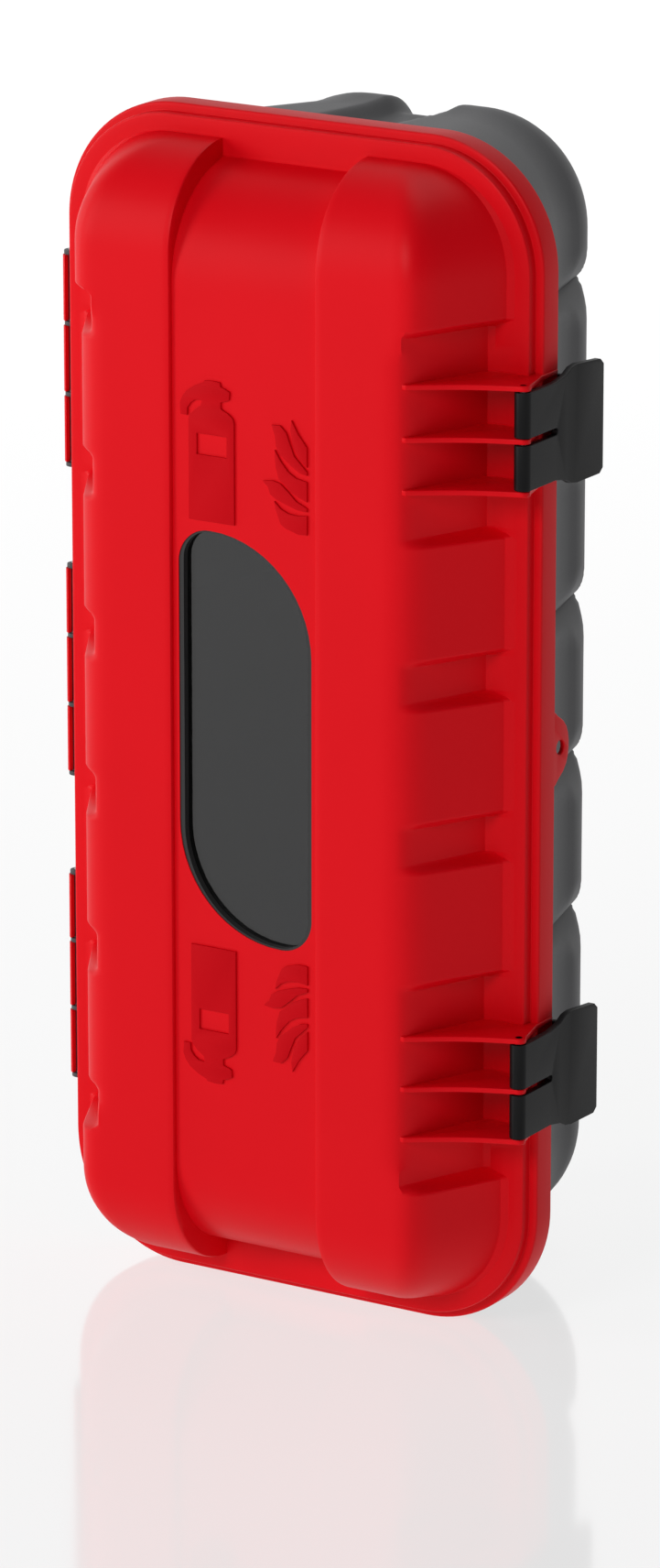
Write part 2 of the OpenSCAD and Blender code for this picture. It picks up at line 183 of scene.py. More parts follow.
@dataclass(frozen=True)
class Moulded:
    """Injection moulded plastic or rubber with a fine spark-eroded grain."""

    name: str
    colour: str
    shade: str
    slot: str
    roughness: float = 0.38
    grain_mm: float = 0.9
    grain_depth_mm: float = 0.05
    ior: float = 1.49
    specular: float = 0.5

    def build(self) -> bpy.types.Material:
        """Makes the material.

        Returns:
            A material whose colour, gloss and grain vary a little over the surface.
        """
        material = bpy.data.materials.new(self.name)
        material.use_nodes = True
        material.node_tree.nodes.clear()
        place = add_node(material, "ShaderNodeTexCoord").outputs["Object"]
        # Soft flow marks, about 90 mm across, as large mouldings have
        flow = add_node(material, "ShaderNodeTexNoise", Vector=place, Scale=11.0, Detail=2.0)
        grain = add_node(
            material, "ShaderNodeTexNoise", Vector=place, Scale=1000 / self.grain_mm, Detail=3.0, Roughness=0.6
        )
        colour = add_node(
            material, "ShaderNodeMix", {"data_type": "RGBA"}, i0=flow.outputs["Fac"],
            i6=linear(self.colour), i7=linear(self.shade),
        )
        gloss = add_node(
            material, "ShaderNodeMapRange", Value=grain.outputs["Fac"],
            To_Min=self.roughness - 0.05, To_Max=self.roughness + 0.07,
        )
        bump = add_node(
            material, "ShaderNodeBump", Strength=0.35, Distance=self.grain_depth_mm * MM,
            Height=grain.outputs["Fac"],
        )
        shader = add_node(
            material, "ShaderNodeBsdfPrincipled", Base_Color=colour.outputs[2],
            Roughness=gloss.outputs["Result"], Normal=bump.outputs["Normal"],
        )
        shader.inputs["IOR"].default_value = self.ior
        shader.inputs["Specular IOR Level"].default_value = self.specular
        add_node(material, "ShaderNodeOutputMaterial", Surface=shader.outputs["BSDF"])
        return material


@dataclass(frozen=True)
class ZincSteel:
    """Drawn steel pin with dark zinc: metallic, with fine lines along its length."""

    name: str = "dark_zinc_steel"
    colour: str = "#8a8a8c"
    slot: str = "pin_steel"
    roughness: float = 0.34
    line_mm: float = 0.35

    def build(self) -> bpy.types.Material:
        """Makes the material.

        Returns:
            A metal with drawn lines.
        """
        material = bpy.data.materials.new(self.name)
        material.use_nodes = True
        material.node_tree.nodes.clear()
        place = add_node(material, "ShaderNodeTexCoord").outputs["Object"]
        stretched = add_node(material, "ShaderNodeMapping", Vector=place, Scale=(1.0, 1.0, 0.02))
        lines = add_node(
            material, "ShaderNodeTexNoise", Vector=stretched.outputs["Vector"],
            Scale=1000 / self.line_mm, Detail=2.0,
        )
        gloss = add_node(
            material, "ShaderNodeMapRange", Value=lines.outputs["Fac"],
            To_Min=self.roughness - 0.08, To_Max=self.roughness + 0.1,
        )
        shader = add_node(
            material, "ShaderNodeBsdfPrincipled", Roughness=gloss.outputs["Result"],
        )
        shader.inputs["Base Color"].default_value = linear(self.colour)
        shader.inputs["Metallic"].default_value = 1.0
        add_node(material, "ShaderNodeOutputMaterial", Surface=shader.outputs["BSDF"])
        return material


@dataclass(frozen=True)
class ClearPane:
    """Clear polycarbonate sheet: it shows the dark inside and a little of the room; its grey tint is partly painted
    shade of that dark inside.
    """

    name: str = "clear_polycarbonate"
    # Grey tint: partly the sheet's own smoke tint, partly painted shade of the dark inside seen through it
    colour: str = "#505355"
    slot: str = "clear_pane"
    roughness: float = 0.05
    specular: float = 0.12
    ior: float = 1.58
    wave_mm: float = 60.0

    def build(self) -> bpy.types.Material:
        """Makes the material.

        Returns:
            A clear plastic tinted grey, partly its own smoke tint and partly painted shade of the dark inside, with
            a slightly wavy surface.
        """
        material = bpy.data.materials.new(self.name)
        material.use_nodes = True
        material.node_tree.nodes.clear()
        place = add_node(material, "ShaderNodeTexCoord").outputs["Object"]
        wave = add_node(material, "ShaderNodeTexNoise", Vector=place, Scale=1000 / self.wave_mm, Detail=1.0)
        bump = add_node(
            material, "ShaderNodeBump", Strength=0.2, Distance=0.2 * MM, Height=wave.outputs["Fac"]
        )
        shader = add_node(material, "ShaderNodeBsdfPrincipled", Normal=bump.outputs["Normal"])
        shader.inputs["Base Color"].default_value = linear(self.colour)
        shader.inputs["Roughness"].default_value = self.roughness
        shader.inputs["IOR"].default_value = self.ior
        shader.inputs["Specular IOR Level"].default_value = self.specular
        shader.inputs["Transmission Weight"].default_value = 1.0
        add_node(material, "ShaderNodeOutputMaterial", Surface=shader.outputs["BSDF"])
        return material


RED = Moulded("red_moulded_plastic", "#dd0414", "#d60312", "red_plastic", roughness=0.42, specular=0.1)
SIGN_RED = Moulded("red_moulded_sign", "#c20512", "#bd0411", "red_plastic", roughness=0.55, specular=0.05)
GREY = Moulded("grey_moulded_plastic", "#444446", "#404042", "grey_plastic", roughness=0.5, specular=0.25)
BLACK = Moulded("black_moulded_plastic", "#0c0c0d", "#0a0a0b", "black_plastic", roughness=0.4, specular=0.12)
RUBBER = Moulded("black_seal_rubber", "#101011", "#0d0d0e", "black_rubber", roughness=0.62, grain_mm=1.4)
STEEL = ZincSteel()
PANE = ClearPane()
_made: dict[str, bpy.types.Material] = {}

Finish = Moulded | ZincSteel | ClearPane


def material_of(finish: Finish) -> bpy.types.Material:
    """Gives a finish's material, which is built once."""
    if finish.name not in _made:
        _made[finish.name] = finish.build()
    return _made[finish.name]


# Meshes


def new_piece(name: str, mesh: bpy.types.Mesh) -> bpy.types.Object:
    """Links a mesh as an object at the origin.

    Args:
        name: the piece's name.
        mesh: its mesh, in the frame.

    Returns:
        The object.
    """
    piece = bpy.data.objects.new(name, mesh)
    bpy.context.scene.collection.objects.link(piece)
    return piece


def mesh_from(points: list[Vector], faces: list[list[int]], name: str) -> bpy.types.Mesh:
    """Builds a mesh and drops faces that have no area.

    Args:
        points: its vertices.
        faces: its faces, counter-clockwise from outside.
        name: the mesh's name.

    Returns:
        The mesh.
    """
    mesh = bpy.data.meshes.new(name)
    mesh.from_pydata(points, [], faces)
    work = bmesh.new()
    work.from_mesh(mesh)
    bmesh.ops.remove_doubles(work, verts=work.verts, dist=0.02 * MM)
    work.to_mesh(mesh)
    work.free()
    mesh.update()
    return mesh


def smooth(mesh: bpy.types.Mesh, angle: float = 32.0) -> None:
    """Shades a mesh smooth, with edges sharper than an angle in degrees left crisp."""
    mesh.shade_smooth()
    mesh.set_sharp_from_angle(angle=math.radians(angle))


def apply_modifiers(piece: bpy.types.Object) -> None:
    """Turns a piece's modifiers into its mesh."""
    graph = bpy.context.evaluated_depsgraph_get()
    done = bpy.data.meshes.new_from_object(piece.evaluated_get(graph))
    piece.modifiers.clear()
    piece.data = done


def cut(piece: bpy.types.Object, tool: bpy.types.Object) -> None:
    """Cuts a closed tool out of a closed piece, and removes the tool."""
    modifier = piece.modifiers.new("cut", "BOOLEAN")
    modifier.operation = "DIFFERENCE"
    modifier.solver = "EXACT"
    modifier.object = tool
    apply_modifiers(piece)
    bpy.data.objects.remove(tool)


def bevel(piece: bpy.types.Object, width_mm: float, segments: int = 3, angle: float = 35.0) -> None:
    """Rounds a piece's sharp edges.

    Args:
        piece: the piece.
        width_mm: width of the rounding.
        segments: number of its steps.
        angle: edges sharper than this many degrees are rounded.
    """
    modifier = piece.modifiers.new("bevel", "BEVEL")
    modifier.width = width_mm * MM
    modifier.segments = segments
    modifier.limit_method = "ANGLE"
    modifier.angle_limit = math.radians(angle)
    apply_modifiers(piece)


class Axis(Enum):
    """Direction in which an outline is extruded."""

    UP = "up"
    FORWARD = "forward"
    ACROSS = "across"


def extrude(
    name: str, outline: list[tuple[float, float]], axis: Axis, low: float, high: float
) -> bpy.types.Object:
    """Extrudes a closed outline.

    Args:
        name: the piece's name.
        outline: pairs of (x, d) for UP, (x, z) for FORWARD and (d, z) for ACROSS.
        axis: direction of the extrusion.
        low: where it starts.
        high: where it ends.

    Returns:
        The closed piece, faces outward.
    """
    def place(a: float, b: float, t: float) -> Vector:
        """Puts an outline's point at one end of the extrusion."""
        if axis is Axis.UP:
            return front(a, t, b)
        if axis is Axis.FORWARD:
            return front(a, b, t)
        return front(t, b, a)

    count = len(outline)
    points = [place(a, b, low) for a, b in outline] + [place(a, b, high) for a, b in outline]
    faces = [list(range(count)), list(range(2 * count - 1, count - 1, -1))]
    for i in range(count):
        j = (i + 1) % count
        faces.append([i, i + count, j + count, j])
    mesh = mesh_from(points, faces, name)
    work = bmesh.new()
    work.from_mesh(mesh)
    bmesh.ops.recalc_face_normals(work, faces=work.faces)
    work.to_mesh(mesh)
    work.free()
    return new_piece(name, mesh)


def join(name: str, pieces: list[bpy.types.Object]) -> bpy.types.Object:
    """Joins pieces into one object.

    Args:
        name: the joined piece's name.
        pieces: what is joined; they are removed.

    Returns:
        The joined piece.
    """
    work = bmesh.new()
    for piece in pieces:
        work.from_mesh(piece.data)
        bpy.data.objects.remove(piece)
    mesh = bpy.data.meshes.new(name)
    work.to_mesh(mesh)
    work.free()
    return new_piece(name, mesh)


def dress(
    piece: bpy.types.Object, finish: Finish, body: str, replaced: tuple[str, ...] = (), angle: float = 32.0
) -> bpy.types.Object:
    """Gives a piece its finish, its body and the nodes that it stands for.

    Args:
        piece: the finished piece, at the origin.
        finish: its finish.
        body: the body that it rides on.
        replaced: nodes that it stands for.
        angle: shading angle in degrees.

    Returns:
        The piece.
    """
    piece.data.materials.clear()
    piece.data.materials.append(material_of(finish))
    smooth(piece.data, angle)
    if replaced:
        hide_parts(*replaced)
    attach(piece, body)
    LOG.info("%s: %d faces, on %s", piece.name, len(piece.data.polygons), body)
    return piece


class RowTree:
    """Geometry Nodes tree that repeats one piece in groups along z."""

    def __init__(self) -> None:
        """Builds the tree with its named inputs."""
        tree = bpy.data.node_groups.new("rows_of_pieces", "GeometryNodeTree")
        interface = tree.interface
        interface.new_socket("Geometry", in_out="INPUT", socket_type="NodeSocketGeometry")
        self.sockets: dict[str, str] = {}
        kinds = {
            "Group count": "NodeSocketInt", "Group pitch": "NodeSocketFloat", "Group start": "NodeSocketFloat",
            "Item count": "NodeSocketInt", "Item pitch": "NodeSocketFloat", "Finish": "NodeSocketMaterial",
        }
        for name, kind in kinds.items():
            self.sockets[name] = interface.new_socket(name, in_out="INPUT", socket_type=kind).identifier
        interface.new_socket("Geometry", in_out="OUTPUT", socket_type="NodeSocketGeometry")
        nodes, links = tree.nodes, tree.links
        given = nodes.new("NodeGroupInput")
        ends = []
        for count, pitch in (("Group count", "Group pitch"), ("Item count", "Item pitch")):
            line = nodes.new("GeometryNodeMeshLine")
            step = nodes.new("ShaderNodeCombineXYZ")
            links.new(given.outputs[pitch], step.inputs["Z"])
            links.new(given.outputs[count], line.inputs["Count"])
            links.new(step.outputs["Vector"], line.inputs["Offset"])
            ends.append(line)
        start = nodes.new("ShaderNodeCombineXYZ")
        links.new(given.outputs["Group start"], start.inputs["Z"])
        links.new(start.outputs["Vector"], ends[0].inputs["Start Location"])
        items = nodes.new("GeometryNodeInstanceOnPoints")
        links.new(ends[1].outputs["Mesh"], items.inputs["Points"])
        links.new(given.outputs["Geometry"], items.inputs["Instance"])
        groups = nodes.new("GeometryNodeInstanceOnPoints")
        links.new(ends[0].outputs["Mesh"], groups.inputs["Points"])
        links.new(items.outputs["Instances"], groups.inputs["Instance"])
        real = nodes.new("GeometryNodeRealizeInstances")
        links.new(groups.outputs["Instances"], real.inputs["Geometry"])
        paint = nodes.new("GeometryNodeSetMaterial")
        links.new(real.outputs["Geometry"], paint.inputs["Geometry"])
        links.new(given.outputs["Finish"], paint.inputs["Material"])
        out = nodes.new("NodeGroupOutput")
        links.new(paint.outputs["Geometry"], out.inputs["Geometry"])
        self.tree = tree

    def repeat(
        self, piece: bpy.types.Object, finish: Finish, groups: tuple[int, float, float], items: tuple[int, float]
    ) -> bpy.types.Object:
        """Repeats a piece that is modelled at the first group's first place, with z = 0.

        Args:
            piece: the piece to repeat; its mesh becomes the whole row.
            finish: the row's finish.
            groups: number, pitch and lowest z of the groups, in millimetres.
            items: number and pitch of the pieces in a group, in millimetres.

        Returns:
            The piece, as a plain mesh.
        """
        modifier = piece.modifiers.new("rows", "NODES")
        modifier.node_group = self.tree
        values = {
            "Group count": groups[0], "Group pitch": groups[1] * MM, "Group start": groups[2] * MM,
            "Item count": items[0], "Item pitch": items[1] * MM, "Finish": material_of(finish),
        }
        for name, value in values.items():
            modifier[self.sockets[name]] = value
        apply_modifiers(piece)
        return piece


@dataclass
class Skin:
    """Mesh of one skin while it is being made."""

    points: list[Vector] = field(default_factory=list)
    faces: list[list[int]] = field(default_factory=list)
    last: list[int] = field(default_factory=list)

    def grid(self, rows: list[list[Vector]]) -> None:
        """Adds the middle grid, seen from outside with x to the right and z up.

        Args:
            rows: points row by row, from low to high.
        """
        width = len(rows[0])
        for row in rows:
            self.points.extend(row)
        for r in range(len(rows) - 1):
            for c in range(width - 1):
                a = r * width + c
                self.faces.append([a, a + 1, a + width + 1, a + width])
        height = len(rows)
        right = [r * width + width - 1 for r in range(height)]
        top = [(height - 1) * width + c for c in range(width - 2, -1, -1)]
        left = [r * width for r in range(height - 2, -1, -1)]
        low = list(range(1, width - 1))
        self.last = right + top + left + low

    def loop(self, ring: list[Vector]) -> None:
        """Adds a loop round the last one.

        Args:
            ring: its points, as many as the grid's border has.
        """
        start = len(self.points)
        self.points.extend(ring)
        new = list(range(start, start + len(ring)))
        for i, here in enumerate(self.last):
            j = (i + 1) % len(ring)
            self.faces.append([here, new[i], new[j], self.last[j]])
        self.last = new


def closed_shell(outer: Skin, inner: Skin, name: str) -> bpy.types.Object:
    """Joins an outer and an inner skin at their last loops.

    Args:
        outer: the outer skin, facing outward.
        inner: the inner skin, made the same way round.
        name: the piece's name.

    Returns:
        The closed piece.
    """
    shift = len(outer.points)
    faces = outer.faces + [[i + shift for i in reversed(f)] for f in inner.faces]
    count = len(outer.last)
    for i in range(count):
        j = (i + 1) % count
        faces.append([outer.last[i], inner.last[i] + shift, inner.last[j] + shift, outer.last[j]])
    return new_piece(name, mesh_from(outer.points + inner.points, faces, name))


@dataclass
class RoundRect:
    """Rounded rectangle whose border points keep their places as it grows.

    Border points lie on straight sides at fixed heights, on round corners at fixed angles, and on the
    straight top and bottom at shares of their length.
    """

    side_levels: list[float]
    corner_steps: int
    across: list[float]

    def places(self) -> list[tuple[str, float, int, int]]:
        """Lists the border as (kind, value, sign x, sign z), counter-clockwise from the lowest right.

        Returns:
            One entry for each border point of the grid.
        """
        steps = self.corner_steps
        angles = [90.0 * k / steps for k in range(1, steps + 1)]
        right = [("corner", a, 1, -1) for a in reversed(angles)]
        right += [("side", z, 1, 0) for z in self.side_levels]
        right += [("corner", a, 1, 1) for a in angles]
        top = [("top", t, 0, 1) for t in reversed(self.across[1:-1])]
        left = [(kind, value, -1, sz) for kind, value, _, sz in reversed(right)]
        low = [("top", t, 0, -1) for t in self.across[1:-1]]
        return right + top + left + low

    def spot(self, place: tuple[str, float, int, int], cx: float, cz: float, rho: float) -> tuple[float, float]:
        """Gives a border point's (x, z) on an outline.

        Args:
            place: an entry of places().
            cx: half distance between the corner centres, across.
            cz: the same, upright.
            rho: corner radius.

        Returns:
            The point.
        """
        kind, value, sx, sz = place
        if kind == "side":
            reach = self.side_levels[-1]
            keep = 0.94 * reach
            z = value
            if abs(value) > keep:
                z = math.copysign(keep + (abs(value) - keep) * (cz - keep) / (reach - keep), value)
            return sx * (cx + rho), z
        if kind == "corner":
            a = math.radians(value)
            return sx * (cx + rho * math.cos(a)), sz * (cz + rho * math.sin(a))
        return value * cx, sz * (cz + rho)

    def rows(self, cz: float, rho: float) -> list[tuple[float, float]]:
        """Lists the grid's rows as (height, cosine of the corner's angle).

        Args:
            cz: half distance between the corner centres, upright.
            rho: corner radius.

        Returns:
            One pair a row, from low to high.
        """
        angles = [math.radians(90.0 * k / self.corner_steps) for k in range(1, self.corner_steps + 1)]
        low = [(-(cz + rho * math.sin(a)), math.cos(a)) for a in reversed(angles)]
        mid = [(self.spot(("side", z, 1, 0), 0, cz, rho)[1], 1.0) for z in self.side_levels]
        high = [(cz + rho * math.sin(a), math.cos(a)) for a in angles]
        return low + mid + high


def notch_levels(centres: list[float], offsets: list[float], reach: float, step: float) -> list[float]:
    """Chooses heights for rows: dense beside the notches, wide elsewhere.

    Args:
        centres: the notches' middles.
        offsets: distances from a middle at which a row is wanted.
        reach: half height of the range.
        step: largest distance between rows.

    Returns:
        Sorted heights from -reach to reach.
    """
    wanted = {round(c + s * o, 3) for c in centres for o in offsets for s in (-1, 1)}
    wanted = sorted({z for z in wanted if abs(z) < reach - 0.5} | {-reach, reach})
    levels = [wanted[0]]
    for z in wanted[1:]:
        parts = max(1, math.ceil((z - levels[-1]) / step))
        base = levels[-1]
        levels.extend(base + (z - base) * (k + 1) / parts for k in range(parts))
    return levels


def fillet_line(points: list[Point], steps: int = 4) -> list[tuple[float, float]]:
    """Rounds the inner corners of a line.

    Args:
        points: (rho, d, radius) of each corner.
        steps: number of steps in a rounding.

    Returns:
        The line as (rho, d) pairs.
    """
    line: list[tuple[float, float]] = []
    for i, (x, d, r) in enumerate(points):
        if r <= 0 or i in (0, len(points) - 1):
            line.append((x, d))
            continue
        before, after = points[i - 1], points[i + 1]
        to_b = math.dist((x, d), before[:2])
        to_a = math.dist((x, d), after[:2])
        b = (mix(x, before[0], r / to_b), mix(d, before[1], r / to_b))
        a = (mix(x, after[0], r / to_a), mix(d, after[1], r / to_a))
        for k in range(steps + 1):
            t = k / steps
            line.append((
                (1 - t) ** 2 * b[0] + 2 * t * (1 - t) * x + t * t * a[0],
                (1 - t) ** 2 * b[1] + 2 * t * (1 - t) * d + t * t * a[1],
            ))
    return line


NOTCH_PITCH = 93.0
NOTCHES = [(i - 2.5) * NOTCH_PITCH for i in range(6)]


@dataclass
class Lid:
    """Moulded lid: skirt, rim, land, two ribbed pillars and the panel with the slanted window."""

    corner_x: float = 83.0
    corner_z: float = 270.5
    rim_r: float = 72.0
    land_r: float = 67.0
    skirt_d: float = 16.0
    land_d: float = 7.0
    crown_d: float = 63.0
    panel_d: float = 60.0
    foot_x: float = 138.0
    foot_r: float = 57.0
    panel_x: float = 47.0
    panel_r: float = 62.0
    panel_end: float = 316.5
    lobe_slope: float = 30.0
    lobe_r: float = 24.0
    end_x: float = 101.6
    end_rx: float = 23.0
    end_rd: float = 50.0
    end_tangent: float = 43.4
    foot_fillet: float = 2.4
    notch_h: float = 20.0
    notch_d: float = 12.0
    notch_flare: float = 5.0
    notch_lean: float = 23.0
    hinge_side_lean: float = 26.0
    notch_blend: float = 5.0
    latch_z: float = 186.0
    flank_steps: int = 26
    window_w: float = 87.0
    window_h: float = 236.0
    window_big_r: float = 66.0
    window_small_r: float = 20.0

    def __post_init__(self) -> None:
        """Sets the rows that all of the lid's skins share."""
        edge = self.notch_h / 2
        offsets = [0, edge - 2] + [edge - 1 + 0.8 * k for k in range(10)] + [edge + 9]
        levels = notch_levels(NOTCHES, offsets, self.corner_z, 7.0)
        self.outline = RoundRect(levels, 26, self.across())

    def across(self) -> list[float]:
        """Gives the shares of the top's length at which border points lie."""
        count = 2 * (len(self.inner_columns()) + self.flank_steps + 5) + 1
        return [-1 + 2 * k / (count - 1) for k in range(count)]

    def inner_columns(self) -> list[float]:
        """Gives x of the panel's columns, from next to the middle to the pillar's wall."""
        return [8, 16, 24, 32, 38, 43, 46.4]

    def flank(self, inset: float, end: float) -> list[tuple[float, float]]:
        """Draws a pillar's section from its crown to its foot.

        Args:
            inset: distance inside the outer skin.
            end: 0 between the end lobes, 1 on an end lobe.

        Returns:
            Points (x, d), as many for every inset and lobe.
        """
        base = self.land_d - inset
        top = self.crown_d - inset
        lean = math.radians(self.lobe_slope)
        foot = self.foot_x - inset * (1 - math.sin(lean)) / math.cos(lean)
        r = self.lobe_r - inset
        start = self.foot_x - (self.crown_d - self.land_d) * math.tan(lean) - self.lobe_r * math.tan(lean / 2 + 0)
        start -= self.lobe_r * ((1 - math.sin(lean)) / math.cos(lean) - math.tan(lean / 2))
        lobe = [(52.0, top)]
        for k in range(13):
            a = math.radians((90 - self.lobe_slope) * k / 12)
            lobe.append((start + r * math.sin(a), top - r + r * math.cos(a)))
        lobe += self.foot_curve(lobe[-1], (foot, base), inset)
        rx, rd = self.end_rx - inset, self.end_rd - inset
        ball = [(52.0, top)]
        for k in range(13):
            a = math.radians(self.end_tangent * k / 12)
            ball.append((self.end_x + rx * math.sin(a), top - rd + rd * math.cos(a)))
        ball += self.foot_curve(ball[-1], (foot, base), inset)
        a_line = resample(lobe, self.flank_steps)
        b_line = resample(ball, self.flank_steps)
        return [(mix(p[0], q[0], end), mix(p[1], q[1], end)) for p, q in zip(a_line, b_line)]

    def foot_curve(
        self, high: tuple[float, float], foot: tuple[float, float], inset: float
    ) -> list[tuple[float, float]]:
        """Draws the straight side wall and the small fillet at its foot.

        Args:
            high: upper end of the straight part.
            foot: where the wall would meet the land.
            inset: distance inside the outer skin.

        Returns:
            The points after the upper end.
        """
        reach = self.foot_fillet + 0.5 * inset
        run = math.dist(high, foot)
        points = [(high[0], high[1], 0.0), (foot[0], foot[1], reach), (foot[0] + reach + 0.5, foot[1], 0.0)]
        line = fillet_line(points, 5)[1:]
        LOG.debug("side wall %.1f mm long", run)
        return line

    def notch(self, z: float, side: int, inset: float) -> float:
        """Tells how deep in a notch a height lies.

        Args:
            z: the height.
            side: 1 for the latch side, -1 for the hinge side.
            inset: distance inside the outer skin.

        Returns:
            0 on a lobe, 1 on a notch's floor.
        """
        grow = 0.68 * inset
        half = self.notch_h / 2 + grow
        far = half + self.notch_flare + 0.4 * grow
        depth = max(ramp(-abs(z - c), -far, -half) for c in NOTCHES)
        if side > 0:
            tall = NOTCH_PITCH / 2
            depth = max(depth, ramp(-abs(abs(z) - self.latch_z), -far - tall, -half - tall))
        return depth

    def row(self, z: float, cosine: float, inset: float) -> list[Vector]:
        """Places one row of the grid.

        Args:
            z: its height.
            cosine: cosine of the corner's angle, 1 beside the straight sides.
            inset: distance inside the outer skin.

        Returns:
            Points from left to right.
        """
        base = self.land_d - inset
        rise = cosine
        crown = base + (self.crown_d - self.land_d) * rise
        panel = self.panel_level(z, inset)
        crown = max(crown, panel)
        foot_room = (self.corner_x - 2 + self.foot_r * cosine - self.panel_x) / (self.foot_x - self.panel_x)
        edge = min(1.3, 0.4 * (crown - panel))
        half: list[tuple[float, float, int]] = []
        for side in (-1, 1):
            end = ramp(abs(z), NOTCHES[-1] - 1, NOTCHES[-1] + 1)
            part = [(x, panel) for x in self.inner_columns()]
            x0 = self.panel_x + inset
            part = [(x * x0 / self.panel_x, d) for x, d in part]
            part += [(x0, panel), (x0 + 0.1, mix(panel, crown, 0.5)), (x0 + 0.2, crown - edge)]
            part += [(x0 + 0.2 + 0.35 * edge, crown - 0.3 * edge), (x0 + 0.3 + 1.2 * edge, crown)]
            deep = self.notch(z, side, inset)
            for x, d in self.flank(inset, end):
                level = base + (d - base) * rise
                out = self.panel_x + (x - self.panel_x) * foot_room
                lean = self.notch_lean if side > 0 else self.hinge_side_lean
                floor = self.foot_x - self.notch_d - inset - (d - self.land_d) * math.tan(math.radians(lean))
                line = self.foot_x - inset * 0.6 - (d - base) * math.tan(math.radians(self.lobe_slope))
                floor += max(0.0, x - line) if d < base + 3 else 0.0
                out = mix(out, soft_min(out, floor, self.notch_blend), deep)
                part.append((out, level))
            half.extend((x * side, d, side) for x, d in part)
        count = len(half) // 2
        left = [front(x, z, d) for x, d, _ in reversed(half[:count])]
        right = [front(x, z, d) for x, d, _ in half[count:]]
        return left + [front(0, z, panel)] + right

    def panel_level(self, z: float, inset: float) -> float:
        """Gives the panel's depth at a height: flat, then rounded back to the land at its ends."""
        base = self.land_d - inset
        top = self.panel_d - inset
        r = self.panel_r - inset
        under = top - r
        start = self.panel_end - inset - math.sqrt(r * r - (base - under) ** 2)
        t = abs(z) - start
        if t <= 0:
            return top
        if t >= r:
            return base
        return max(base, under + math.sqrt(r * r - t * t))

    def skin(self, inset: float, rim: list[Point]) -> Skin:
        """Makes the outer or the inner skin.

        Args:
            inset: distance inside the outer skin.
            rim: corners (rho, d, rounding) of the section from the land to the skirt's rear edge.

        Returns:
            The skin.
        """
        skin = Skin()
        rho = self.foot_r - inset * 0.5
        skin.grid([self.row(z, c, inset) for z, c in self.outline.rows(self.corner_z, rho)])
        places = self.outline.places()
        for rho, d in fillet_line(rim):
            spots = [self.outline.spot(p, self.corner_x, self.corner_z, rho) for p in places]
            skin.loop([front(x, z, d) for x, z in spots])
        return skin

    def window_outline(self, grow: float, steps: int = 14) -> list[tuple[float, float]]:
        """Draws the window: a leaning form with two large and two small corners.

        Args:
            grow: how much larger than the opening.
            steps: steps in a corner.

        Returns:
            Its points, counter-clockwise.
        """
        w, h = self.window_w / 2 + grow, self.window_h / 2 + grow
        big, small = self.window_big_r + grow, self.window_small_r + grow
        points = []
        for sx, sz, r, first in ((1, -1, small, 270), (1, 1, big, 0), (-1, 1, small, 90), (-1, -1, big, 180)):
            for k in range(steps + 1):
                a = math.radians(first + 90 * k / steps)
                points.append((sx * (w - r) + r * math.cos(a), sz * (h - r) + r * math.sin(a)))
        return points

    def build(self) -> bpy.types.Object:
        """Makes the lid's moulding.

        Returns:
            The closed shell with its window cut.
        """
        outer_rim = [
            (61.0, 7.0, 0.0), (67.0, 7.0, 1.6), (67.0, 0.0, 0.6), (72.0, 0.0, 1.8), (72.0, -16.0, 0.4),
            (71.4, -16.0, 0.0),
        ]
        inner_rim = [
            (57.5, 4.0, 0.0), (64.0, 4.0, 0.6), (64.0, -3.0, 0.6), (69.0, -3.0, 0.6), (69.0, -16.0, 0.4),
            (69.6, -16.0, 0.0),
        ]
        lid = closed_shell(self.skin(0.0, outer_rim), self.skin(WALL, inner_rim), "lid_moulding")
        tool = extrude(
            "window_tool", self.window_outline(0.0), Axis.FORWARD, self.panel_d - 4 * WALL, self.panel_d + 4 * WALL
        )
        cut(lid, tool)
        return lid


